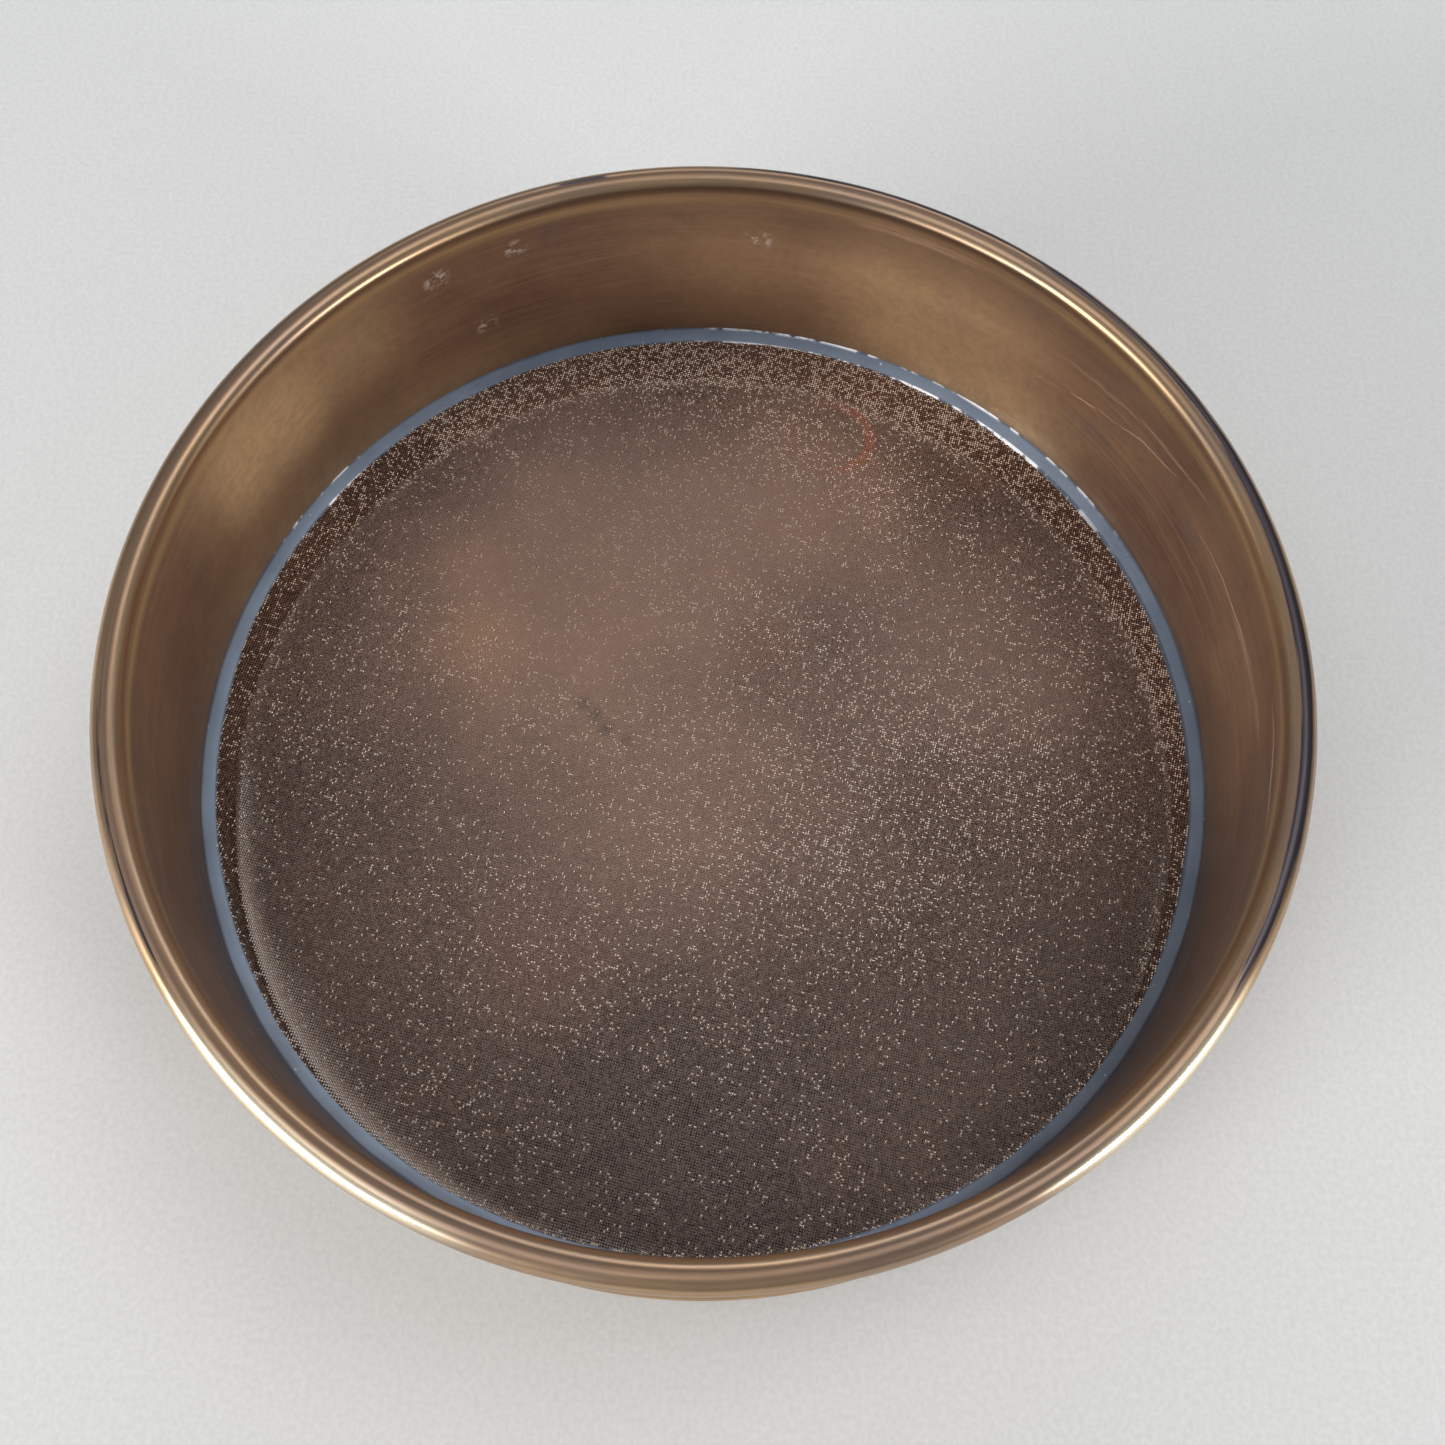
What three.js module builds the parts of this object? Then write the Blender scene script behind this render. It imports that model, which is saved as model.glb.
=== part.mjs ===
// Round drum sieve: a spun brass frame with a curled rim, a woven wire cloth
// clamped between the frame's turned-out foot and the flange of a nesting
// skirt, and the two runs of solder that seal the cloth and the crimp.
// Units are millimetres, +Z is up, and the origin is the centre of the skirt's foot.
import * as THREE from "three";

// ---- driving dimensions ----
const WALL_RADIUS = 101.6; // inside radius of the drum, half of 8 in
const RIM_TO_CLOTH = 50.8; // depth of the drum, 2 in
const FOOT_TO_CLOTH = 18.2; // the cloth's middle plane above the surface it stands on
const SHEET = 0.8; // thickness of the spun brass
const BEAD_RADIUS = 2.8; // outside radius of the curled rim
const CLOTH_THICKNESS = 0.4; // two wires deep at each crossing
const SKIRT_RADIUS = 100.2; // inside radius of the skirt, which nests in the next drum
const RIDGE_RADIUS = 106.2; // outside radius of the crimped ridge
const HEM_WIDTH = 2.8; // how far the crimp is folded back under the flange
const GAP = 0.3; // clearance left between neighbouring pieces
const SOLDER_WIDTH = 2.2; // width of the upper fillet across the cloth
const SOLDER_HEIGHT = 1.6; // height of the upper fillet up the wall

// ---- how finely the round shapes are cut ----
const RING_SEGMENTS = 80;
const CURL_STEPS = 10;
const CORNER_STEPS = 3;

// ---- heights that follow from them ----
const RIM_HEIGHT = FOOT_TO_CLOTH + RIM_TO_CLOTH;
const CLOTH_TOP = FOOT_TO_CLOTH + CLOTH_THICKNESS / 2;
const CLOTH_BOTTOM = FOOT_TO_CLOTH - CLOTH_THICKNESS / 2;
const FRAME_FLANGE_BOTTOM = CLOTH_TOP + GAP;
const FRAME_FLANGE_TOP = FRAME_FLANGE_BOTTOM + SHEET;
const SKIRT_FLANGE_TOP = CLOTH_BOTTOM - GAP;
const SKIRT_FLANGE_BOTTOM = SKIRT_FLANGE_TOP - SHEET;
const HEM_TOP = SKIRT_FLANGE_BOTTOM - GAP;
const HEM_BOTTOM = HEM_TOP - SHEET;

// ---- radii that follow from them ----
const WALL_OUTSIDE = WALL_RADIUS + SHEET;
const BEAD_CENTRE = WALL_RADIUS + BEAD_RADIUS;
const RIDGE_INSIDE = RIDGE_RADIUS - SHEET;
const HEM_END = RIDGE_RADIUS - HEM_WIDTH;
const SKIRT_OUTSIDE = SKIRT_RADIUS + SHEET;
const CLAMPED_RADIUS = RIDGE_INSIDE - 1.5 * GAP;

const point = (radius, height) => new THREE.Vector2(radius, height);

// Points of an arc in the section plane, from one angle to another, in degrees.
function arc(radius, height, size, fromDegrees, toDegrees, steps) {
  return Array.from({ length: steps + 1 }, (_, i) => {
    const angle = THREE.MathUtils.degToRad(
      fromDegrees + ((toDegrees - fromDegrees) * i) / steps,
    );
    return point(
      radius + size * Math.cos(angle),
      height + size * Math.sin(angle),
    );
  });
}

// A solid of revolution about Z from a section listed anticlockwise
// (radius to the right, height upwards).
function ringOf(section) {
  return new THREE.LatheGeometry(section, RING_SEGMENTS).rotateX(Math.PI / 2);
}

// A section that closes on itself.
const closed = (section) => [...section, section[0].clone()];

// The drum wall. At the top the sheet curls outwards into the hollow rim bead,
// whose free edge stops short of the wall. At the bottom it turns out over the
// cloth, and is folded down and back under the skirt's flange.
function frameShell() {
  const curlEnd = -120;
  const beadHeight = RIM_HEIGHT - BEAD_RADIUS;
  const corner = 1.2;
  const ledge = 1.0;
  return ringOf(
    closed([
      point(WALL_RADIUS, FRAME_FLANGE_BOTTOM),
      point(RIDGE_INSIDE, FRAME_FLANGE_BOTTOM),
      point(RIDGE_INSIDE, HEM_TOP),
      point(HEM_END, HEM_TOP),
      point(HEM_END, HEM_BOTTOM),
      ...arc(RIDGE_RADIUS - corner, HEM_BOTTOM + corner, corner, -90, 0, CORNER_STEPS),
      ...arc(RIDGE_RADIUS - corner, FRAME_FLANGE_TOP - corner, corner, 0, 90, CORNER_STEPS),
      ...arc(WALL_OUTSIDE + ledge, FRAME_FLANGE_TOP + ledge, ledge, -90, -180, CORNER_STEPS),
      ...arc(BEAD_CENTRE, beadHeight, BEAD_RADIUS - SHEET, 180, curlEnd, CURL_STEPS),
      ...arc(BEAD_CENTRE, beadHeight, BEAD_RADIUS, curlEnd, 180, CURL_STEPS),
    ]),
  );
}

// The narrower ring below the cloth. Its top edge is turned out into the flange
// that carries the cloth, and its foot is chamfered so that it nests easily.
function skirtRing() {
  const bend = 0.8;
  const chamferWidth = 0.2;
  const chamferHeight = 0.8;
  return ringOf(
    closed([
      point(SKIRT_RADIUS, 0),
      point(SKIRT_OUTSIDE - chamferWidth, 0),
      point(SKIRT_OUTSIDE, chamferHeight),
      point(SKIRT_OUTSIDE, SKIRT_FLANGE_BOTTOM),
      point(CLAMPED_RADIUS, SKIRT_FLANGE_BOTTOM),
      point(CLAMPED_RADIUS, SKIRT_FLANGE_TOP),
      ...arc(SKIRT_RADIUS + bend, SKIRT_FLANGE_TOP - bend, bend, 90, 180, CORNER_STEPS),
    ]),
  );
}

// The woven cloth, as one thin disc of its full thickness.
function wireCloth() {
  return ringOf([
    point(0, CLOTH_BOTTOM),
    point(CLAMPED_RADIUS, CLOTH_BOTTOM),
    point(CLAMPED_RADIUS, CLOTH_TOP),
    point(0, CLOTH_TOP),
  ]);
}

// The hollow-faced fillet of solder in the corner between wall and cloth.
function upperSolderFillet() {
  const outside = WALL_RADIUS - GAP;
  const inside = outside - SOLDER_WIDTH;
  const base = CLOTH_TOP + GAP;
  const thinEdge = 0.15;
  const dip = 0.35; // the free surface sinks to this share of each side at its middle
  return ringOf(
    closed([
      point(inside, base),
      point(outside, base),
      point(outside, base + SOLDER_HEIGHT),
      point(outside - dip * SOLDER_WIDTH, base + dip * SOLDER_HEIGHT),
      point(inside, base + thinEdge),
    ]),
  );
}

// The seam of solder that fills the groove between the crimp and the skirt.
function lowerSolderSeam() {
  const inside = SKIRT_OUTSIDE + GAP;
  const outside = HEM_END - GAP;
  return ringOf(
    closed([
      point(inside, HEM_BOTTOM - SHEET),
      point(outside, HEM_BOTTOM + SHEET / 4),
      point(outside, HEM_TOP),
      point(inside, HEM_TOP),
    ]),
  );
}

const tarnishedBrass = () =>
  new THREE.MeshStandardMaterial({ color: 0x8a6a45, roughness: 0.42, metalness: 1 });
const brownWire = () =>
  new THREE.MeshStandardMaterial({ color: 0x6b5040, roughness: 0.55, metalness: 1 });
const greySolder = () =>
  new THREE.MeshStandardMaterial({ color: 0x7d8796, roughness: 0.35, metalness: 1 });

const pieces = [
  ["frame_shell", frameShell, tarnishedBrass],
  ["skirt_ring", skirtRing, tarnishedBrass],
  ["wire_cloth", wireCloth, brownWire],
  ["upper_solder_fillet", upperSolderFillet, greySolder],
  ["lower_solder_seam", lowerSolderSeam, greySolder],
];

const sieve = new THREE.Group();
for (const [name, geometry, material] of pieces) {
  const mesh = new THREE.Mesh(geometry(), material());
  mesh.name = name;
  sieve.add(mesh);
}

export default sieve;
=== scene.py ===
import math

import bpy
import numpy as np
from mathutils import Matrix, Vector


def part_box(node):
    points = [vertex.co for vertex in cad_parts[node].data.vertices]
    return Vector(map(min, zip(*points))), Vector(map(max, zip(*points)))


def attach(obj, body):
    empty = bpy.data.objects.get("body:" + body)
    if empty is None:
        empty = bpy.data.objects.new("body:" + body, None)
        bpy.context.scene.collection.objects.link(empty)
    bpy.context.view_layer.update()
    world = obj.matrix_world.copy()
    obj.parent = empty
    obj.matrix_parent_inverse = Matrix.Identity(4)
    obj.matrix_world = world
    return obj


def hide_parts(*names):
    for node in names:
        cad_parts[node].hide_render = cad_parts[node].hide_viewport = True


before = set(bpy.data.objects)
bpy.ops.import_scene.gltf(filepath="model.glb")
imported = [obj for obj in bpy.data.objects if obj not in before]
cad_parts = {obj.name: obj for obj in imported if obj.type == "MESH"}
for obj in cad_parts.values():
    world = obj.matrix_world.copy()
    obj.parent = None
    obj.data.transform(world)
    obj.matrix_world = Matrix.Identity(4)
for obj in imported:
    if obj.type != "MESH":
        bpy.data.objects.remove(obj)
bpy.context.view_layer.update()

MM = 0.001
RANDOM = np.random.default_rng(50)
CLUMPS = np.random.default_rng(51).normal(0, 1, (256, 256))


def rgb(red, green, blue):
    """An opaque colour."""
    return (red, green, blue, 1.0)


# ---- sizes read from the frame ----
FRAME_LOW, FRAME_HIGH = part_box("frame_shell")
CLOTH_LOW, CLOTH_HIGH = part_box("wire_cloth")
SEAM_LOW, SEAM_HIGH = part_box("lower_solder_seam")
SKIRT_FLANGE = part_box("skirt_ring")[1].x
RIM_RADIUS = FRAME_HIGH.x
RIM_HEIGHT = FRAME_HIGH.z
CLOTH_HEIGHT = (CLOTH_LOW.z + CLOTH_HIGH.z) / 2

# ---- sizes of the sheet, the wire and the solder ----
SHEET = 0.8 * MM
CLEARANCE = 0.02 * MM
BEAD_RADIUS = 2.8 * MM
WALL_RADIUS = RIM_RADIUS - 2 * BEAD_RADIUS
WALL_OUTSIDE = WALL_RADIUS + SHEET
CREST_RADIUS = WALL_RADIUS + BEAD_RADIUS
BEAD_HEIGHT = RIM_HEIGHT - BEAD_RADIUS
BEAD_FOOT = 64.8 * MM
RIDGE_RADIUS = 106.2 * MM
HEM_END = SEAM_HIGH.x + 0.3 * MM
SKIRT_RADIUS = 100.2 * MM
SKIRT_OUTSIDE = SKIRT_RADIUS + SHEET
FOOT_ROLL = 1.1 * MM
SOLDER_WIDTH = 2.5 * MM
SOLDER_HEIGHT = 2.0 * MM
SOLDER_SAG = 0.08 * MM
WIRE_RADIUS = 0.118 * MM
WIRE_SIDES = 4
PITCH = 25.4 * MM / 50
WEAVE_TURN = math.radians(-14.1)

# ---- how far the handwork strays from the true shape ----
RIM_SWAY = 0.12 * MM
WALL_DENTS = 0.05 * MM
RIM_WAVE = 0.06 * MM
FOOT_LIFT = (-137, 46, 1.3 * MM)  # angle, half width, height: the skirt's foot is bent up here
FOOT_WAVE = 0.3 * MM
WIDE_SOLDER = (22, 50, 0.5 * MM)  # angle, half width, extra width
SOLDER_WANDER = 0.12 * MM
SOLDER_FRAY = 0.05 * MM
SOLDER_CLIMB = 0.1 * MM
SEAM_DRIPS = 0.15 * MM
CLOTH_STRAY = 0.10 * MM
CLOTH_RISE = 0.16 * MM
WIRE_STRAY = 0.006 * MM
CROSSING_RISE = 0.004 * MM

# ---- where age shows, and where glow, highlights and glints are painted, as degrees round the drum and lengths ----
# painted glow: patches of the inner wall painted bright where light falls on it
PAINTED_GLOW_PATCHES = [  # angle, half width, height, reach, amount
    (151, 11, 49 * MM, 24 * MM, 1.0),
    (147, 22, 54 * MM, 28 * MM, 0.75),
    (62, 20, 52 * MM, 22 * MM, 0.5),
    (57, 22, 26 * MM, 20 * MM, 0.75),
    (80, 34, 40 * MM, 30 * MM, 0.25),
    (140, 44, 22 * MM, 16 * MM, 0.35),
]
SCRATCHES = [  # angle, half width, height, half thickness, slope, amount
    (9, 12, 51.2 * MM, 0.3 * MM, -0.06, 1.0),
    (1, 9, 51.6 * MM, 1.6 * MM, -0.1, 0.5),
    (36, 14, 48.5 * MM, 0.35 * MM, -0.3, 0.9),
    (-11, 8, 61.0 * MM, 0.6 * MM, -0.05, 0.7),
    (30, 20, 56.0 * MM, 0.9 * MM, -0.12, 0.4),
    (66, 9, 63.0 * MM, 2.0 * MM, 0.0, 0.5),
]
SCRATCH_WANDER = 4 * MM
SCUFFS = [  # angle, height, size in millimetres
    (124, 58 * MM, 3.5),
    (114, 58 * MM, 3.0),
    (119, 37 * MM, 3.0),
    (85, 52 * MM, 3.5),
    (-141, 40 * MM, 1.8),
]
DEGREES_PER_MM = 0.57  # round the wall
OXIDE_ARCS = [  # angle, half width, amount, radius, reach
    (-4, 40, 1.15, 104.8 * MM, 1.8 * MM),
    (30, 34, 0.85, 105.1 * MM, 1.7 * MM),
    (66, 30, 0.8, 105.6 * MM, 1.2 * MM),
    (105, 4, 0.8, 104.8 * MM, 0.8 * MM),
    (-158, 22, 0.5, 105.0 * MM, 0.8 * MM),
]
# two arcs of the bead's outer flank, rubbed smooth and painted with bright highlights
POLISH_AND_HIGHLIGHT_ARCS = [(-126, 19), (-47, 15)]  # angle, half width
# arcs of painted glints along the solder's edges
PAINTED_SOLDER_GLINTS = [(62, 38), (147, 9)]  # angle, half width

# ---- stains and wear on the cloth, with painted glow and painted shade; its painted halo arc is on a circle a little off the axis ----
# painted halo: crossings painted white in an arc at the lower left, standing in for light inside the
# skirt's foot
PAINTED_HALO_CENTRE = (0, -6.6 * MM)
PAINTED_HALO_RADIUS = 94.4 * MM
PAINTED_HALO_WIDTH = 4.0 * MM
PAINTED_HALO_ARC = (-139, 38)  # angle, half width
RING_STAIN = (27, 74, 8.5, 1.9, rgb(0.5, 0.13, 0.06))  # x, y, radius, reach in millimetres, colour
WARM_BROWN = rgb(0.53, 0.31, 0.21)
SPOT_BROWN = rgb(0.07, 0.03, 0.02)
CLOTH_PATCHES = [  # x, y, size in millimetres, amount, colour
    (-34, 30, 50, 0.62, rgb(0.55, 0.32, 0.21)),
    # painted glow: where light off the left wall falls on the cloth
    (-48, 22, 17, 0.4, rgb(0.72, 0.4, 0.2)),
    (-50, 40, 13, 0.3, rgb(0.66, 0.36, 0.2)),
    (-6, -8, 54, 0.6, WARM_BROWN),
    (4, 50, 44, 0.5, WARM_BROWN),
    (20, 64, 48, 0.45, WARM_BROWN),
    (-26, 66, 40, 0.35, WARM_BROWN),
    (50, 22, 44, 0.5, rgb(0.46, 0.28, 0.2)),
    (-30, -46, 22, 0.5, rgb(0.3, 0.13, 0.08)),
    (11, 21, 11, 0.4, rgb(0.3, 0.12, 0.08)),
    (-25.5, 8, 2.2, 0.6, SPOT_BROWN),
    (-23, 5.5, 2.6, 0.6, SPOT_BROWN),
    (-20.5, 2.5, 2.6, 0.6, SPOT_BROWN),
    (-16.5, 0, 2.2, 0.5, SPOT_BROWN),
    # painted shade: the cloth darker along the near side and by the walls at left and right
    (0, -96, 62, 0.95, rgb(0.046, 0.011, 0.008)),
    (-92, -30, 40, 0.6, rgb(0.055, 0.02, 0.014)),
    (74, -62, 42, 0.75, rgb(0.048, 0.015, 0.01)),
]

# ---- the studio ----
LIGHTS = [  # name, azimuth, elevation, distance, width, height, power
    ("ceiling_left", 207, 70, 2.2, 1.1, 1.1, 10),
    ("ceiling_right", 20, 66, 2.2, 0.9, 0.9, 10.5),
    ("left_window", 216, 15, 1.8, 0.9, 0.45, 34),
    ("right_window", -33, 12, 1.9, 0.5, 0.5, 20),
    ("back_window", 80, 34, 2.4, 2.2, 0.7, 12),
]
ROOM_GLOW = (0.13, 0.42)  # strength at the horizon and high up
FLOOR_REACH = 14.0
CAMERA_PLACE = (0, -0.115, CLOTH_HEIGHT + 0.298)
CAMERA_TURN = (24.008, -0.994, 0.857)


# ---------------------------------------------------------------- meshes

def mesh_object(name, points, quads, smooth_below=40):
    """A mesh piece from arrays of points and quads, smooth except at sharp edges."""
    mesh = bpy.data.meshes.new(name)
    mesh.vertices.add(len(points))
    mesh.vertices.foreach_set("co", np.asarray(points, np.float32).ravel())
    quads = np.asarray(quads, np.int32)
    mesh.loops.add(quads.size)
    mesh.loops.foreach_set("vertex_index", quads.ravel())
    mesh.polygons.add(len(quads))
    mesh.polygons.foreach_set("loop_start", np.arange(0, quads.size, 4, dtype=np.int32))
    mesh.update(calc_edges=True)
    mesh.validate()
    mesh.polygons.foreach_set("use_smooth", np.ones(len(quads), bool))
    if smooth_below:
        mesh.set_sharp_from_angle(angle=math.radians(smooth_below))
    made = bpy.data.objects.new(name, mesh)
    bpy.context.scene.collection.objects.link(made)
    return made


def arc(radius, height, size, start, end, steps):
    """Points of an arc in the section plane, between two angles in degrees."""
    angles = np.radians(np.linspace(start, end, steps + 1))
    return [(radius + size * math.cos(a), height + size * math.sin(a)) for a in angles]


def straight(start, end, steps):
    """Points along a line in the section plane, without its last one."""
    share = np.arange(steps) / steps
    return [(start[0] + (end[0] - start[0]) * t, start[1] + (end[1] - start[1]) * t) for t in share]


def lathe(name, section, shape, steps=720):
    """A ring turned from a closed section listed anticlockwise. shape moves its points."""
    section = np.array(section)
    count = len(section)
    turn = np.arange(steps) * 2 * math.pi / steps
    radius = np.repeat(section[None, :, 0], steps, 0)
    height = np.repeat(section[None, :, 1], steps, 0)
    angle = np.repeat(turn[:, None], count, 1)
    radius, height = shape(radius, height, angle)
    points = np.stack([radius * np.cos(angle), radius * np.sin(angle), height], -1)
    ring, place = np.meshgrid(np.arange(steps), np.arange(count), indexing="ij")
    next_ring, next_place = (ring + 1) % steps, (place + 1) % count
    quads = np.stack(
        [ring * count + place, next_ring * count + place,
         next_ring * count + next_place, ring * count + next_place], -1)
    return mesh_object(name, points.reshape(-1, 3), quads.reshape(-1, 4))


def ripple(angle, waves, seed):
    """A smooth random curve round the drum, about -1 to 1, made of a few sine waves."""
    chance = np.random.default_rng(seed)
    total = np.zeros_like(angle)
    for wave in waves:
        total += np.sin(wave * angle + chance.uniform(0, 2 * math.pi)) / math.sqrt(len(waves))
    return total


def turned_from(angle, middle):
    """How far angles in radians are from one in degrees, the short way round."""
    return (angle - math.radians(middle) + math.pi) % (2 * math.pi) - math.pi


# ---------------------------------------------------------------- materials

class Shader:
    """Builds one node material: each call adds nodes and returns an output socket."""

    def __init__(self, name):
        self.material = bpy.data.materials.new(name)
        self.material.use_nodes = True
        self.tree = self.material.node_tree
        self.surface = self.tree.nodes["Principled BSDF"]

    def locate(self):
        """Keep the point in the row frame, its three parts, and its distance from the axis."""
        self.point = self.node("ShaderNodeTexCoord", {}, "Object")
        parts = self.tree.nodes.new("ShaderNodeSeparateXYZ")
        self.tree.links.new(self.point, parts.inputs[0])
        self.x, self.y, self.z = parts.outputs["X"], parts.outputs["Y"], parts.outputs["Z"]
        self.radius = self.length_on_plane(self.point)

    def node(self, kind, inputs, output=0, **settings):
        made = self.tree.nodes.new(kind)
        for key, value in settings.items():
            setattr(made, key, value)
        for key, value in inputs.items():
            self.put(made.inputs[key], value)
        return made.outputs[output]

    def put(self, socket, value):
        if isinstance(value, bpy.types.NodeSocket):
            self.tree.links.new(value, socket)
        else:
            socket.default_value = value

    def set(self, name, value):
        """Give one of the surface's own inputs a plain value or a link."""
        self.put(self.surface.inputs[name], value)

    def math(self, operation, *values):
        return self.node("ShaderNodeMath", dict(enumerate(values)), operation=operation)

    def plus(self, first, second):
        return self.math("ADD", first, second)

    def minus(self, first, second):
        return self.math("SUBTRACT", first, second)

    def times(self, first, second):
        return self.math("MULTIPLY", first, second)

    def larger(self, first, second):
        return self.math("MAXIMUM", first, second)

    def vector(self, operation, *values, output=0):
        return self.node("ShaderNodeVectorMath", dict(enumerate(values)), output, operation=operation)

    def length_on_plane(self, vector):
        """The length of a vector's part across the drum."""
        flat = self.vector("MULTIPLY", vector, (1, 1, 0))
        return self.vector("LENGTH", flat, output="Value")

    def distance_from(self, x, y):
        """The distance from a place on the cloth, measured in its plane."""
        return self.length_on_plane(self.vector("SUBTRACT", self.point, (x, y, 0)))

    def noise(self, vector, scale, detail=3, roughness=0.5, shift=0.0):
        return self.node(
            "ShaderNodeTexNoise",
            {"Vector": vector, "Scale": scale, "Detail": detail, "Roughness": roughness, "W": shift},
            "Fac", noise_dimensions="4D")

    def ramp(self, value, low, high, to_low=0.0, to_high=1.0):
        return self.node(
            "ShaderNodeMapRange",
            {"Value": value, "From Min": low, "From Max": high, "To Min": to_low, "To Max": to_high},
            interpolation_type="SMOOTHSTEP")

    def facing(self, angle, half):
        """1 at an angle round the drum, fading to 0 at half degrees to either side."""
        middle = math.radians(angle)
        along = self.plus(self.times(self.x, math.cos(middle)), self.times(self.y, math.sin(middle)))
        return self.ramp(self.math("DIVIDE", along, self.radius), math.cos(math.radians(half)), 1.0)

    def near(self, value, middle, reach):
        """1 where a value is near its middle, fading to 0 at reach to either side."""
        away = self.math("ABSOLUTE", self.minus(value, middle))
        return self.ramp(away, 0.0, reach, 1.0, 0.0)

    def mix(self, share, first, second):
        made = self.tree.nodes.new("ShaderNodeMix")
        made.data_type = "RGBA"
        self.put(made.inputs["Factor"], share)
        self.put(made.inputs[6], first)
        self.put(made.inputs[7], second)
        return made.outputs[2]

    def bump(self, height, strength, distance):
        self.set("Normal", self.node(
            "ShaderNodeBump", {"Height": height, "Strength": strength, "Distance": distance}))


def spun_streaks(shader):
    """Two noises drawn out round the drum: hair-fine brushing and broader tool marks."""
    across = shader.plus(shader.z, shader.times(shader.radius, 0.7))

    def drawn_out(around, over, detail, shift):
        place = shader.node("ShaderNodeCombineXYZ", {
            "X": shader.times(shader.x, around), "Y": shader.times(shader.y, around),
            "Z": shader.times(across, over)})
        return shader.noise(place, 1.0, detail, 0.6, shift)
    return drawn_out(60.0, 5200.0, 3, 0.0), drawn_out(16.0, 620.0, 4, 2.0)


def spun_metal(shader, anisotropic):
    """Metal brushed round the drum, so its highlights stretch across the brushing."""
    shader.set("Anisotropic", anisotropic)
    shader.set("Tangent", shader.node("ShaderNodeTangent", {}, direction_type="RADIAL", axis="Z"))


def wall_base(shader, fine, coarse, blotch, patch, inside):
    """The wall's brown brass, with painted glow patches, tool marks, a golden line under the bead that is
    wear and painted highlight, painted shade under the bead, and a lighter outside.
    """
    grain = shader.noise(shader.point, 480.0, 5, 0.65, 3.0)
    reddish, dark_red = rgb(0.33, 0.19, 0.11), rgb(0.215, 0.118, 0.078)
    wall = shader.mix(shader.ramp(blotch, 0.36, 0.66), reddish, dark_red)
    tool_mark = rgb(0.46, 0.3, 0.165)
    wall = shader.mix(shader.ramp(coarse, 0.48, 0.75, 0, 0.4), wall, tool_mark)
    grey_stain = rgb(0.16, 0.125, 0.135)
    wall = shader.mix(shader.ramp(patch, 0.56, 0.7, 0, 0.4), wall, grey_stain)
    painted_glow_brass = rgb(0.95, 0.64, 0.34)
    # painted glow: lighter brass in uneven patches where light falls on the wall
    for angle, half, height, reach, amount in PAINTED_GLOW_PATCHES:
        painted_light_and_wear = shader.times(shader.facing(angle, half), shader.near(shader.z, height, reach))
        uneven = shader.ramp(patch, 0.3, 0.65, amount * 0.92, amount * 0.72)
        painted_light_and_wear = shader.times(shader.times(painted_light_and_wear, uneven), inside)
        wall = shader.mix(painted_light_and_wear, wall, painted_glow_brass)
    wall = shader.mix(shader.ramp(grain, 0.4, 0.62, 0, 0.16), wall, rgb(0.13, 0.08, 0.055))
    wall = shader.mix(shader.ramp(fine, 0.45, 0.65, 0, 0.3), wall, rgb(0.5, 0.34, 0.2))
    # a golden line just under the bead: handling wear and a painted highlight where the curve into the
    # wall catches light
    wear_and_highlight_line = shader.times(shader.near(shader.z, BEAD_FOOT - 0.5 * MM, 2.5 * MM),
                             shader.ramp(coarse, 0.3, 0.6, 0.1, 0.5))
    wall = shader.mix(wear_and_highlight_line, wall, rgb(0.75, 0.5, 0.22))
    # painted shade: the upper wall darker under the bead
    painted_shade_under_bead = shader.times(shader.ramp(shader.z, 44 * MM, 60 * MM, 0.0, 0.42), shader.facing(60, 110))
    wall = shader.mix(painted_shade_under_bead, wall, rgb(0.14, 0.085, 0.055))
    outside = shader.times(shader.minus(1.0, inside), 0.55)
    return shader.mix(outside, wall, rgb(0.38, 0.25, 0.12))


def wall_marks(shader, wall, coarse, patch, inside):
    """Painted shade over the near half, a bluish darkening low down, scratches and finger marks over the
    inside of the wall.
    """
    # painted shade over the near half of the wall
    shade = shader.times(shader.facing(-88, 88), shader.times(inside, 0.6))
    wall = shader.mix(shade, wall, rgb(0.15, 0.115, 0.11))
    # darker and bluer low on the near half of the wall, towards the cloth
    low_down = shader.ramp(shader.z, CLOTH_HEIGHT + 3 * MM, CLOTH_HEIGHT + 22 * MM, 0.85, 0.0)
    low_bluish_darkening = shader.times(shader.times(shader.facing(-95, 95), low_down), inside)
    wall = shader.mix(low_bluish_darkening, wall, rgb(0.085, 0.094, 0.125))

    turn = shader.math("ARCTAN2", shader.y, shader.x)
    pink_scratch, pale_scuff = rgb(0.72, 0.47, 0.33), rgb(0.78, 0.68, 0.58)
    for angle, half, height, reach, bend, amount in SCRATCHES:
        slope = shader.times(shader.minus(turn, math.radians(angle)), bend * WALL_RADIUS)
        place = shader.minus(shader.z, slope)
        place = shader.plus(place, shader.times(shader.minus(patch, 0.5), SCRATCH_WANDER))
        line = shader.times(shader.near(place, height, reach), shader.facing(angle, half))
        line = shader.times(line, shader.ramp(coarse, 0.36, 0.56, 0, amount))
        wall = shader.mix(shader.times(line, inside), wall, pink_scratch)
    for angle, height, size in SCUFFS:
        spot = shader.times(shader.facing(angle, size * DEGREES_PER_MM),
                            shader.near(shader.z, height, size * MM))
        broken = shader.ramp(shader.noise(shader.point, 520.0, 3, 0.6), 0.44, 0.6, 0, 0.9)
        spot = shader.times(spot, broken)
        wall = shader.mix(shader.times(spot, inside), wall, pale_scuff)
    return wall


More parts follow.
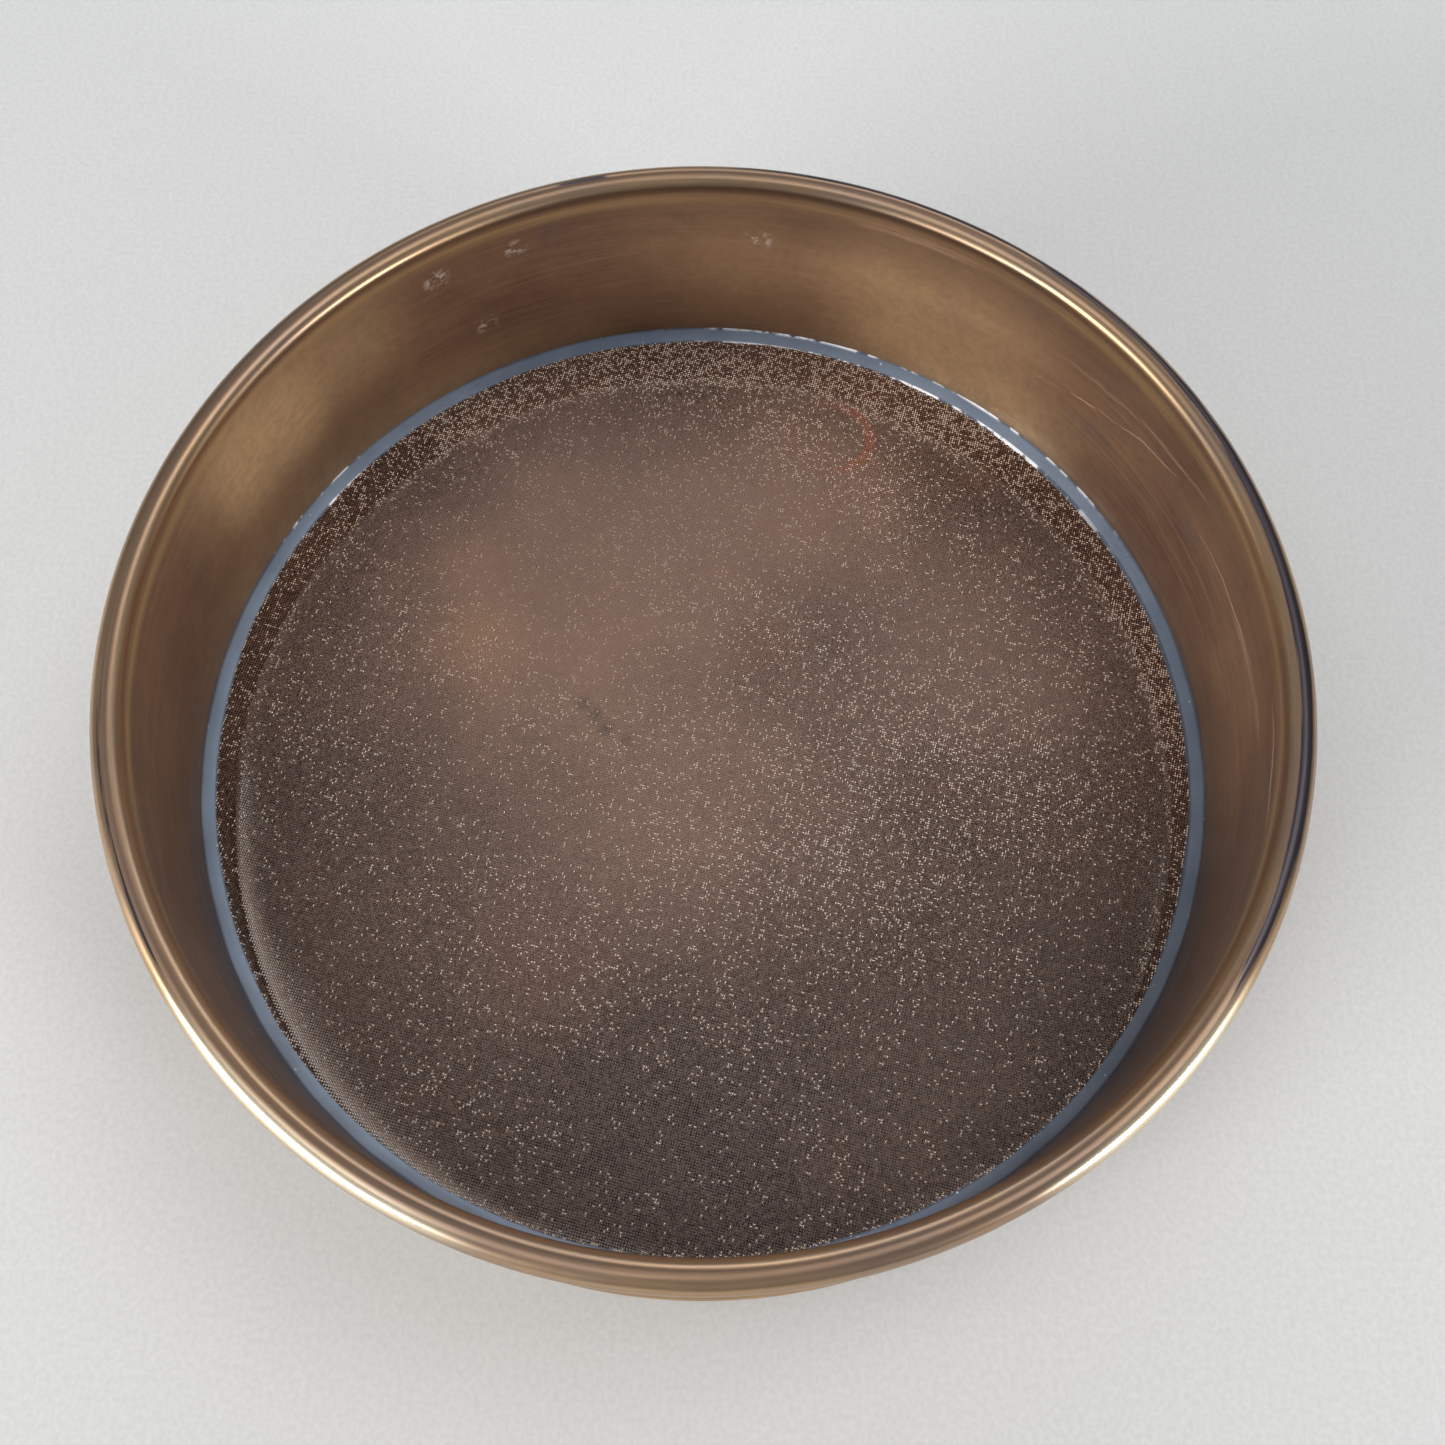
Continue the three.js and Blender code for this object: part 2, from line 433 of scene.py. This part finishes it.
def bead_colour(shader, fine, coarse, blotch):
    """The rim bead's colour with handling wear, painted dark reflections on the crest and far inner
    flank, a painted highlight on the near inner flank, and two arcs that hands have rubbed smooth and
    that carry painted highlights; and the mask of those arcs.
    """
    bead = shader.mix(shader.ramp(coarse, 0.3, 0.7), rgb(0.34, 0.215, 0.12), rgb(0.5, 0.34, 0.19))
    bead = shader.mix(shader.ramp(fine, 0.44, 0.62, 0, 0.3), bead, rgb(0.2, 0.12, 0.07))
    bead = shader.mix(shader.ramp(blotch, 0.42, 0.66, 0, 0.6), bead, rgb(0.27, 0.2, 0.165))
    # painted dark reflection: the crest darkened where it mirrors the dark room overhead
    crest = shader.times(shader.near(shader.radius, CREST_RADIUS - 0.2 * MM, 2.6 * MM),
                         shader.ramp(coarse, 0.3, 0.6, 0.55, 0.8))
    bead = shader.mix(crest, bead, rgb(0.17, 0.108, 0.078))

    def inner_flank(start, end, amount):
        return shader.ramp(shader.radius, CREST_RADIUS - start, CREST_RADIUS - end, amount, 0.0)
    # painted highlight: the near inner flank made pale where it mirrors the back window
    near_flank_highlight = shader.times(inner_flank(2.2 * MM, 0.8 * MM, 0.4), shader.facing(-115, 75))
    bead = shader.mix(near_flank_highlight, bead, rgb(0.8, 0.58, 0.4))
    # painted dark reflection: the far inner flank darkened where it mirrors the dark room above the
    # camera
    far_flank_dark_reflection = shader.times(inner_flank(2.4 * MM, 1.2 * MM, 0.6), shader.facing(88, 80))
    bead = shader.mix(far_flank_dark_reflection, bead, rgb(0.07, 0.045, 0.03))

    # painted highlights on two arcs of the outer flank, which are also made smoother
    polish_and_painted_highlight = 0.0
    for angle, half in POLISH_AND_HIGHLIGHT_ARCS:
        polish_and_painted_highlight = shader.larger(shader.facing(angle, half), polish_and_painted_highlight)
    polish_and_painted_highlight = shader.times(polish_and_painted_highlight, shader.near(shader.radius, CREST_RADIUS + 1.8 * MM, 1.8 * MM))
    polish_and_painted_highlight = shader.times(polish_and_painted_highlight, shader.ramp(coarse, 0.3, 0.5, 0.6, 1.0))
    return shader.mix(polish_and_painted_highlight, bead, rgb(1.0, 0.86, 0.62)), polish_and_painted_highlight


def oxide_mask(shader, fine, coarse):
    """Where streaks of black oxide lie on the outer side of the bead's crest."""
    oxide = 0.0
    for angle, half, amount, middle, reach in OXIDE_ARCS:
        band = shader.times(shader.facing(angle, half), shader.near(shader.radius, middle, reach))
        oxide = shader.larger(shader.times(band, amount), oxide)
    oxide = shader.times(oxide, shader.ramp(shader.z, BEAD_HEIGHT, RIM_HEIGHT - 2 * MM))
    streaky = shader.plus(shader.times(coarse, 0.5), shader.times(fine, 0.5))
    oxide = shader.plus(oxide, shader.times(shader.minus(streaky, 0.5), 2.4))
    return shader.ramp(oxide, 0.35, 0.6, 0, 0.92)


def frame_material():
    """Spun brass gone brown inside, with painted glow and painted shade on the wall, bright from handling
    on the bead with painted highlights and dark reflections there, with oxide and old scratches.
    """
    shader = Shader("frame_brass")
    shader.locate()
    fine, coarse = spun_streaks(shader)
    blotch = shader.noise(shader.point, 26.0, 5, 0.6)
    patch = shader.noise(shader.point, 70.0, 5, 0.62, 7.0)
    bead = shader.ramp(shader.z, BEAD_FOOT, BEAD_FOOT + 3 * MM)
    inside = shader.ramp(shader.radius, WALL_RADIUS + 0.2 * MM, WALL_RADIUS + 0.6 * MM, 1.0, 0.0)

    wall = wall_base(shader, fine, coarse, blotch, patch, inside)
    wall = wall_marks(shader, wall, coarse, patch, inside)
    bead_wear_and_painted_light, polish_and_painted_highlight = bead_colour(shader, fine, coarse, blotch)
    colour = shader.mix(bead, wall, bead_wear_and_painted_light)
    black_oxide = rgb(0.035, 0.033, 0.045)
    shader.set("Base Color", shader.mix(oxide_mask(shader, fine, coarse), colour, black_oxide))
    shader.set("Metallic", shader.ramp(bead, 0.0, 1.0, 0.62, 0.9))
    rough = shader.plus(shader.ramp(coarse, 0.3, 0.7, 0.32, 0.42), shader.times(bead, -0.04))
    shader.set("Roughness", shader.plus(rough, shader.times(shader.times(polish_and_painted_highlight, bead), -0.12)))
    spun_metal(shader, 0.4)
    shader.bump(shader.plus(fine, shader.times(patch, 0.5)), 0.3, 0.04 * MM)
    return shader.material


def skirt_material():
    """Dull brass, painted near black inside the skirt as painted shade, with a pale, less metallic edge
    at its foot that is a painted highlight.
    """
    shader = Shader("skirt_brass")
    shader.locate()
    fine, coarse = spun_streaks(shader)
    blotch = shader.noise(shader.point, 40.0, 5, 0.6, 4.0)
    outer = shader.mix(shader.ramp(blotch, 0.35, 0.68), rgb(0.42, 0.26, 0.13), rgb(0.2, 0.12, 0.07))
    outer = shader.mix(shader.ramp(coarse, 0.5, 0.75, 0, 0.5), outer, rgb(0.55, 0.38, 0.2))
    # painted shade: the inside of the skirt near black
    inner = shader.mix(shader.ramp(blotch, 0.4, 0.6), rgb(0.045, 0.022, 0.016), rgb(0.02, 0.011, 0.01))
    inside = shader.ramp(shader.radius, SKIRT_RADIUS + 0.2 * MM, SKIRT_RADIUS + 0.5 * MM, 1.0, 0.0)
    colour = shader.mix(inside, outer, inner)
    colour = shader.mix(shader.ramp(fine, 0.4, 0.7, 0, 0.4), colour, rgb(0.12, 0.07, 0.04))
    # painted highlight: the inner edge of the foot near white, for the lit line along the foot
    foot = shader.times(shader.ramp(shader.z, 1.5 * MM, 2.4 * MM, 1.0, 0.0), inside)
    shader.set("Base Color", shader.mix(foot, colour, rgb(1.0, 0.94, 0.86)))
    shader.set("Metallic", shader.minus(0.8, shader.times(foot, 0.7)))
    shader.set("Roughness", shader.ramp(blotch, 0.3, 0.7, 0.38, 0.55))
    spun_metal(shader, 0.5)
    shader.bump(shader.plus(fine, blotch), 0.3, 0.04 * MM)
    return shader.material


def solder_material():
    """Soft solder: a smooth blue-grey skin, with a painted sky reflection on the side facing the lower
    left, painted shade along its edges, and painted glints along them.
    """
    shader = Shader("grey_solder")
    shader.locate()
    cloud = shader.noise(shader.point, 70.0, 4, 0.55)
    speck = shader.noise(shader.point, 900.0, 2, 0.5, 3.0)
    colour = shader.mix(shader.ramp(cloud, 0.3, 0.7), rgb(0.13, 0.16, 0.21), rgb(0.175, 0.21, 0.265))
    # painted sky reflection: the side facing the lower left lighter and bluer
    painted_sky_sheen = shader.times(shader.facing(205, 80), 0.7)
    colour = shader.mix(painted_sky_sheen, colour, rgb(0.27, 0.33, 0.42))
    # painted shade: the solder darker along its top at the wall and along its inner edge
    edge = shader.larger(
        shader.ramp(shader.z, CLOTH_HEIGHT + 1.55 * MM, CLOTH_HEIGHT + 2.0 * MM),
        shader.ramp(shader.radius, WALL_RADIUS - 2.45 * MM, WALL_RADIUS - 2.15 * MM, 1.0, 0.0))
    colour = shader.mix(shader.times(edge, 0.75), colour, rgb(0.05, 0.06, 0.085))
    # painted glints: broken white lines along the edges on these arcs
    for angle, half in PAINTED_SOLDER_GLINTS:
        gleam = shader.times(shader.facing(angle, half), edge)
        broken = shader.ramp(shader.noise(shader.point, 240.0, 3, 0.5, 9.0), 0.48, 0.56)
        colour = shader.mix(shader.times(gleam, broken), colour, rgb(0.95, 0.97, 1.0))
    colour = shader.mix(shader.ramp(speck, 0.7, 0.76, 0, 0.7), colour, rgb(0.8, 0.82, 0.85))
    shader.set("Base Color", colour)
    shader.set("Metallic", 0.5)
    shader.set("Roughness", shader.ramp(cloud, 0.3, 0.7, 0.36, 0.48))
    shader.bump(cloud, 0.2, 0.2 * MM)
    return shader.material


def wire_material():
    """Fine brass wire: brown tarnish in soft patches, some of them painted glow and painted shade;
    crossing tops painted lighter, bright at rubbed and glinting crossings, white in the painted halo.
    """
    shader = Shader("cloth_wire")
    shader.locate()
    cloud = shader.noise(shader.point, 15.0, 4, 0.55, 1.0)
    rust = shader.noise(shader.point, 34.0, 4, 0.55, 5.0)
    colour = shader.mix(shader.ramp(cloud, 0.35, 0.65), rgb(0.075, 0.03, 0.018), rgb(0.135, 0.062, 0.038))
    colour = shader.mix(shader.ramp(rust, 0.56, 0.7, 0, 0.5), colour, rgb(0.2, 0.08, 0.05))
    for x, y, size, amount, tint in CLOTH_PATCHES:
        ragged = shader.times(shader.minus(rust, 0.5), size * 0.8 * MM)
        away = shader.plus(shader.distance_from(x * MM, y * MM), ragged)
        colour = shader.mix(shader.ramp(away, size * 0.15 * MM, size * MM, amount, 0.0), colour, tint)
    x, y, ring, reach, tint = RING_STAIN
    stronger_right = shader.ramp(shader.x, x * MM - 2 * MM, x * MM + 6 * MM, 0.15, 0.75)
    stain = shader.near(shader.distance_from(x * MM, y * MM), ring * MM, reach * MM)
    colour = shader.mix(shader.times(stain, stronger_right), colour, tint)

    # painted highlight on the crossing tops, and bright crossings that are partly wear and partly painted
    # glints
    painted_light_and_wear = shader.node("ShaderNodeAttribute", {}, "Fac", attribute_name="painted_light_and_wear")
    colour = shader.mix(shader.ramp(painted_light_and_wear, 0.0, 0.5, 0.0, 0.5), colour, rgb(0.75, 0.48, 0.33))
    # painted halo: white crossings in an arc at the lower left
    away = shader.distance_from(*PAINTED_HALO_CENTRE)
    angle, half = PAINTED_HALO_ARC
    painted_halo_share = shader.times(shader.ramp(away, PAINTED_HALO_RADIUS - PAINTED_HALO_WIDTH, PAINTED_HALO_RADIUS),
                       shader.facing(angle, half + 8))
    bright = shader.mix(painted_halo_share, rgb(1.0, 0.93, 0.82), rgb(1.0, 1.0, 0.98))
    shader.set("Base Color", shader.mix(shader.ramp(painted_light_and_wear, 0.5, 0.75), colour, bright))
    shader.set("Metallic", 0.25)
    shader.set("Roughness", 0.45)
    return shader.material


def floor_material():
    """A pale matt table top that lets a little light creep under the edge of what stands on it."""
    shader = Shader("pale_floor")
    point = shader.node("ShaderNodeTexCoord", {}, "Object")
    grain = shader.noise(point, 900.0, 3, 0.6)
    colour = shader.mix(shader.ramp(grain, 0.3, 0.7), rgb(0.6, 0.6, 0.585), rgb(0.66, 0.66, 0.645))
    shader.set("Base Color", colour)
    shader.set("Roughness", 0.9)
    shader.set("Subsurface Weight", 1.0)
    shader.set("Subsurface Scale", 6 * MM)
    shader.set("Subsurface Radius", (1.0, 1.0, 1.0))
    return shader.material


# ---------------------------------------------------------------- pieces

def finish_piece(piece, material, slot, *nodes):
    """Give a piece its one material, attach it to the root body, and hide the CAD nodes it stands for."""
    piece.data.materials.clear()
    piece.data.materials.append(material)
    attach(piece, "root")
    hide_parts(*nodes)


def build_frame(material):
    """The drum wall, curled outwards into the rim bead and crimped at its foot."""
    flange_bottom = CLOTH_HIGH.z + CLEARANCE
    flange_top = flange_bottom + SHEET
    hem_bottom = FRAME_LOW.z
    hem_top = hem_bottom + SHEET
    corner = 1.2 * MM
    ledge = 1.0 * MM
    curl_end = -120
    inner_wall = (WALL_RADIUS, BEAD_HEIGHT)
    foot = (WALL_RADIUS, flange_bottom)
    section = [
        foot,
        (RIDGE_RADIUS - SHEET, flange_bottom),
        (RIDGE_RADIUS - SHEET, hem_top),
        (HEM_END, hem_top),
        (HEM_END, hem_bottom),
        *arc(RIDGE_RADIUS - corner, hem_bottom + corner, corner, -90, 0, 8),
        *arc(RIDGE_RADIUS - corner, flange_top - corner, corner, 0, 90, 8),
        *arc(WALL_OUTSIDE + ledge, flange_top + ledge, ledge, -90, -180, 6),
        *straight((WALL_OUTSIDE, flange_top + ledge * 1.5), (WALL_OUTSIDE, BEAD_HEIGHT), 10)[1:],
        *arc(CREST_RADIUS, BEAD_HEIGHT, BEAD_RADIUS - SHEET, 180, curl_end, 24),
        *arc(CREST_RADIUS, BEAD_HEIGHT, BEAD_RADIUS, curl_end, 180, 36)[:-1],
        *straight(inner_wall, foot, 14),
    ]

    def hand_worn(radius, height, angle):
        share = (height - hem_bottom) / (RIM_HEIGHT - hem_bottom)
        sway = RIM_SWAY * ripple(angle, (2, 3, 5), 3) * share
        dent = WALL_DENTS * ripple(angle, (11, 17, 23, 31), 4) * np.sin(math.pi * np.clip(share, 0, 1))
        return radius + sway + dent, height + RIM_WAVE * ripple(angle, (2, 3, 7), 5) * share

    finish_piece(lathe("drum_frame", section, hand_worn), material, "frame_brass", "frame_shell")


def build_skirt(material):
    """The narrower ring below the cloth: its flange, a rounded bend, and a rolled-in foot."""
    bend = 0.8 * MM
    chamfer = 0.2 * MM
    top = CLOTH_LOW.z - CLEARANCE
    section = [
        (SKIRT_RADIUS - FOOT_ROLL, 0),
        (SKIRT_OUTSIDE - chamfer, 0),
        (SKIRT_OUTSIDE, 0.8 * MM),
        *straight((SKIRT_OUTSIDE, 1.5 * MM), (SKIRT_OUTSIDE, top - SHEET), 6),
        (SKIRT_OUTSIDE, top - SHEET),
        (SKIRT_FLANGE, top - SHEET),
        (SKIRT_FLANGE, top),
        *arc(SKIRT_RADIUS + bend, top - bend, bend, 90, 180, 6),
        *straight((SKIRT_RADIUS, top - 2 * bend), (SKIRT_RADIUS, 2 * FOOT_ROLL), 6),
        *arc(SKIRT_RADIUS - FOOT_ROLL, 2 * FOOT_ROLL, FOOT_ROLL, 0, -60, 5),
    ]
    middle, half, lift = FOOT_LIFT
    bent_height = 8 * MM

    def bent_foot(radius, height, angle):
        away = turned_from(angle, middle)
        bend_up = np.clip(np.cos(away * 90 / half), 0, 1) ** 0.7 * (np.abs(away) < math.radians(half))
        uneven = FOOT_WAVE * np.clip(1 + ripple(angle, (3, 5, 9, 16), 14), 0, 2)
        return radius, height + (lift * bend_up + uneven) * np.clip(1 - height / bent_height, 0, 1)

    finish_piece(lathe("nesting_skirt", section, bent_foot), material, "skirt_brass", "skirt_ring")


def build_upper_solder(material):
    """A hollow-faced fillet with an uneven edge that thins out over the wires."""
    inside = WALL_RADIUS - SOLDER_WIDTH
    base = CLOTH_HEIGHT - 0.12 * MM
    top = CLOTH_HEIGHT + SOLDER_HEIGHT
    thin = CLOTH_HEIGHT + 0.1 * MM
    curve = []
    for t in np.linspace(0, 1, 15):
        sag = SOLDER_SAG * math.sin(math.pi * t)
        curve.append((WALL_RADIUS + (inside - WALL_RADIUS) * t, top + (thin - top) * t - sag))
    section = [(inside, base), (WALL_RADIUS, base), *curve]
    middle, half, extra = WIDE_SOLDER

    def uneven(radius, height, angle):
        depth = np.clip((WALL_RADIUS - radius) / SOLDER_WIDTH, 0, 1)
        away = turned_from(angle, middle)
        broad = extra * np.cos(np.clip(away * 90 / half, -math.pi / 2, math.pi / 2))
        edge = SOLDER_WANDER * ripple(angle, (3, 7, 13, 29), 8) - broad
        edge = edge + SOLDER_FRAY * ripple(angle, (97, 151, 211, 263), 9)
        lift = np.clip((height - base) / (top - base), 0, 1)
        climb = SOLDER_CLIMB * ripple(angle, (5, 9, 17, 41), 10) * (1 - depth)
        return radius + edge * depth ** 2, height + climb * lift

    piece = lathe("upper_solder", section, uneven, steps=1440)
    finish_piece(piece, material, "solder", "upper_solder_fillet")


def build_lower_solder(material):
    """The run of solder in the corner below the crimp, with an uneven lower edge."""
    inside = SKIRT_OUTSIDE - 0.05 * MM
    outside = HEM_END + CLEARANCE
    cover = 0.2 * MM
    swell = 0.1 * MM
    drop = FRAME_LOW.z + cover - SEAM_LOW.z
    face = [
        (inside + (outside - inside) * t, SEAM_LOW.z + drop * t ** 0.6 + swell * math.sin(math.pi * t))
        for t in np.linspace(0.12, 1, 8)]
    section = [
        (inside, SEAM_LOW.z),
        *face,
        (outside, SEAM_HIGH.z + cover),
        (inside, SEAM_HIGH.z + cover),
    ]

    def uneven(radius, height, angle):
        low = np.clip((SEAM_HIGH.z - height) / (SEAM_HIGH.z - SEAM_LOW.z), 0, 1)
        return radius, height - low * SEAM_DRIPS * ripple(angle, (4, 11, 19, 43), 12)

    finish_piece(lathe("lower_solder", section, uneven), material, "solder", "lower_solder_seam")


# ---------------------------------------------------------------- woven cloth

def cloth_drift(x, y):
    """How far the hand-fitted cloth strays from a perfect grid, in its plane and in height."""
    along = CLOTH_STRAY * (np.sin(x * 61 + y * 23 + 0.4) + np.sin(x * 17 - y * 47 + 2.0))
    across = CLOTH_STRAY * (np.sin(x * 29 - y * 53 + 1.1) + np.sin(x * 43 + y * 19 + 3.3))
    rise = CLOTH_RISE * (np.sin(x * 38 + y * 21 + 0.9) + np.sin(y * 44 - x * 27 + 2.4))
    edge = np.clip((x * x + y * y) / (WALL_RADIUS - 4 * MM) ** 2, 0, 1)
    fade = 1 - edge ** 3
    return along * fade, across * fade, rise * fade


def rarity(x, y):
    """How rare bright crossings are, partly wear and partly painted glints: rare at the left and near
    sides, common by the far seam.
    """
    away = np.hypot(x, y)
    bright_middle = np.exp(-((x - 32 * MM) / (50 * MM)) ** 2 - ((y + 8 * MM) / (42 * MM)) ** 2)
    bright_back = np.exp(-((x - 10 * MM) / (55 * MM)) ** 2 - ((y - 78 * MM) / (22 * MM)) ** 2)
    rim = np.hypot(x - PAINTED_HALO_CENTRE[0], y - PAINTED_HALO_CENTRE[1])
    # painted glints: bright crossings crowded outside the circle the skirt's foot makes, by the far seam
    seam = np.clip((rim - 92 * MM) / (3 * MM), 0, 1) * np.clip(0.6 + (x * 0.4 + y * 0.92) / away, 0, 1)
    near_side = np.clip((-y - 30 * MM) / (60 * MM), 0, 1)
    rare = 1.35 - 0.55 * bright_middle - 0.45 * bright_back - 1.1 * seam + 0.15 * near_side
    rare += 0.12 * np.sin(x * 41 - y * 67 + 2) + 0.12 * np.sin(y * 130 + x * 90)
    beside_solder = away > WALL_RADIUS - SOLDER_WIDTH - 0.5 * MM
    return np.where(beside_solder, 0.0, rare)


def clumped(chance, x, y):
    """Chance drawn partly from cells a millimetre wide, so bright crossings gather in clumps."""
    share = 0.3
    cell = 1.05 * MM
    row = np.floor(x / cell + 0.3 * np.sin(y * 900)).astype(int) + 128
    column = np.floor(y / cell + 0.3 * np.sin(x * 800)).astype(int) + 128
    return (chance + share * CLUMPS[row, column]) / math.sqrt(1 + share ** 2)


def painted_halo(x, y):
    """How strongly the crossings beside the seam are painted white in the painted halo, from 0 to 1."""
    middle_x, middle_y = PAINTED_HALO_CENTRE
    angle, half = PAINTED_HALO_ARC
    away = np.hypot(x - middle_x, y - middle_y)
    turn = turned_from(np.arctan2(y - middle_y, x - middle_x), angle)
    across = np.clip((away - PAINTED_HALO_RADIUS + PAINTED_HALO_WIDTH) / PAINTED_HALO_WIDTH, 0, 1) * (away < PAINTED_HALO_RADIUS)
    along = np.clip(1.5 * np.cos(turn * 90 / half), 0, 1) * (np.abs(turn) < math.radians(half))
    return np.clip(1.3 * across * along, 0, 1)


def wire_points(row, count, turned):
    """One wire: the points round it at each crossing, and how bright each of them is painted, from wear
    and painted light.
    """
    turn_cos, turn_sin = math.cos(WEAVE_TURN), math.sin(WEAVE_TURN)
    column = np.arange(count) - count // 2
    over = np.where((row + column) % 2 == 0, 1.0, -1.0) * (-1.0 if turned else 1.0)
    chance = RANDOM.normal(0, 1, count)
    along = column * PITCH
    across = np.full(count, row * PITCH) + RANDOM.normal(0, WIRE_STRAY, count)
    if turned:
        weave_x, weave_y = -across, along
        side = np.array([-turn_cos, -turn_sin, 0])
    else:
        weave_x, weave_y = along, across
        side = np.array([-turn_sin, turn_cos, 0])
    x = turn_cos * weave_x - turn_sin * weave_y
    y = turn_sin * weave_x + turn_cos * weave_y
    drift_x, drift_y, rise = cloth_drift(x, y)
    height = CLOTH_HEIGHT + over * WIRE_RADIUS * 0.95 + rise + CROSSING_RISE * chance
    centre = np.stack([x + drift_x, y + drift_y, height], -1)

    # bright crossings: some wear, painted glints, and the painted halo
    glint_and_polish = np.clip((clumped(chance, x, y) - rarity(x, y)) * 5, 0, 1)
    glint_and_polish = np.maximum(glint_and_polish, painted_halo(x, y))
    # painted highlight: every crossing on top of the other wire is painted lighter on its top
    dull_light = np.clip(0.28 + 0.16 * RANDOM.normal(0, 1, count), 0.02, 0.48)
    shine = np.where(over > 0, dull_light * (1 - glint_and_polish) + glint_and_polish, 0)
    painted_light_and_wear = np.zeros((count, WIRE_SIDES))
    painted_light_and_wear[:, 0] = shine
    painted_light_and_wear[:, 1] = painted_light_and_wear[:, 3] = shine * 0.3

    up = np.array([0, 0, 1.0])
    flattened = (WIRE_RADIUS * (1 + 0.6 * glint_and_polish * (over > 0)))[:, None]
    ring = np.stack([
        centre + up * WIRE_RADIUS, centre + side * flattened,
        centre - up * WIRE_RADIUS, centre - side * flattened], 1)
    return ring.reshape(-1, 3), painted_light_and_wear.ravel()


def tube_quads(count, start):
    """The faces round a wire of count crossings whose points begin at start, and its two caps."""
    step, place = np.meshgrid(np.arange(count - 1), np.arange(WIRE_SIDES), indexing="ij")
    ring = start + step * WIRE_SIDES
    next_place = (place + 1) % WIRE_SIDES
    round_it = np.stack([
        ring + place, ring + next_place,
        ring + WIRE_SIDES + next_place, ring + WIRE_SIDES + place], -1).reshape(-1, 4)
    first = start + np.arange(WIRE_SIDES)
    caps = np.array([first[::-1], first + (count - 1) * WIRE_SIDES])
    return [round_it[:, ::-1], caps[:, ::-1]]


def build_wires(name, turned, material, bands=6):
    """One family of parallel wires, zigzagging over and under the other, in a few pieces."""
    reach = WALL_RADIUS - 0.1 * MM
    half = int(reach / PITCH)
    rows = np.arange(-half, half + 1)
    counts = [2 * int(math.sqrt(max(reach ** 2 - (row * PITCH) ** 2, 0)) / PITCH) + 1 for row in rows]
    limits = np.searchsorted(np.cumsum(counts), np.linspace(0, sum(counts), bands + 1)[1:-1])
    for band, members in enumerate(np.split(np.arange(len(rows)), limits)):
        all_points, all_quads, all_painted_light_and_wear, start = [], [], [], 0
        for k in members:
            if counts[k] < 3:
                continue
            points, painted_light_and_wear = wire_points(rows[k], counts[k], turned)
            all_points.append(points)
            all_painted_light_and_wear.append(painted_light_and_wear)
            all_quads += tube_quads(counts[k], start)
            start += len(points)
        joined = np.concatenate(all_points)
        piece = mesh_object(f"{name}_{band + 1}", joined, np.concatenate(all_quads), 0)
        attribute = piece.data.attributes.new("painted_light_and_wear", "FLOAT", "POINT")
        attribute.data.foreach_set("value", np.concatenate(all_painted_light_and_wear).astype(np.float32))
        finish_piece(piece, material, "cloth_wire", "wire_cloth")


# ---------------------------------------------------------------- studio

def build_floor():
    """A plain floor that reaches far past every view."""
    reach = FLOOR_REACH
    points = [(-reach, -reach, 0), (reach, -reach, 0), (reach, reach, 0), (-reach, reach, 0)]
    floor = mesh_object("floor", points, [(0, 1, 2, 3)], 0)
    floor.data.materials.append(floor_material())


def soft_light(name, azimuth, elevation, distance, width, height, power):
    """A soft area light aimed at the drum from an azimuth and elevation in degrees."""
    data = bpy.data.lights.new(name, "AREA")
    data.shape = "RECTANGLE"
    data.size, data.size_y = width, height
    data.energy = power
    light = bpy.data.objects.new(name, data)
    a, e = math.radians(azimuth), math.radians(elevation)
    light.location = (
        distance * math.cos(e) * math.cos(a), distance * math.cos(e) * math.sin(a),
        CLOTH_HEIGHT + distance * math.sin(e))
    light.rotation_euler = (math.radians(90) - e, 0, a + math.radians(90))
    bpy.context.scene.collection.objects.link(light)


def build_room():
    """The soft light of a room all round, dimmer towards the horizon."""
    world = bpy.data.worlds.new("room")
    world.use_nodes = True
    nodes, links = world.node_tree.nodes, world.node_tree.links
    background = nodes["Background"]
    direction = nodes.new("ShaderNodeTexCoord")
    parts = nodes.new("ShaderNodeSeparateXYZ")
    links.new(direction.outputs["Generated"], parts.inputs[0])
    height = nodes.new("ShaderNodeMapRange")
    height.interpolation_type = "SMOOTHSTEP"
    height.inputs["From Min"].default_value = -0.05
    height.inputs["From Max"].default_value = 0.75
    height.inputs["To Min"].default_value, height.inputs["To Max"].default_value = ROOM_GLOW
    links.new(parts.outputs["Z"], height.inputs["Value"])
    links.new(height.outputs[0], background.inputs["Strength"])
    background.inputs["Color"].default_value = rgb(0.9, 0.93, 1.0)
    bpy.context.scene.world = world
    bpy.context.scene.view_settings.view_transform = "Standard"


def build_camera():
    """A phone held close above the near rim, looking down into the drum."""
    data = bpy.data.cameras.new("camera")
    data.sensor_width = 36.0
    data.lens = 38.7
    data.shift_y = -0.041
    data.clip_start = 0.01
    camera = bpy.data.objects.new("camera", data)
    camera.location = CAMERA_PLACE
    camera.rotation_euler = [math.radians(turn) for turn in CAMERA_TURN]
    bpy.context.scene.collection.objects.link(camera)
    bpy.context.scene.camera = camera


build_camera()
build_floor()
for light in LIGHTS:
    soft_light(*light)
build_room()
solder = solder_material()
wire = wire_material()
build_frame(frame_material())
build_skirt(skirt_material())
build_upper_solder(solder)
build_lower_solder(solder)
build_wires("warp_wires", False, wire)
build_wires("weft_wires", True, wire)
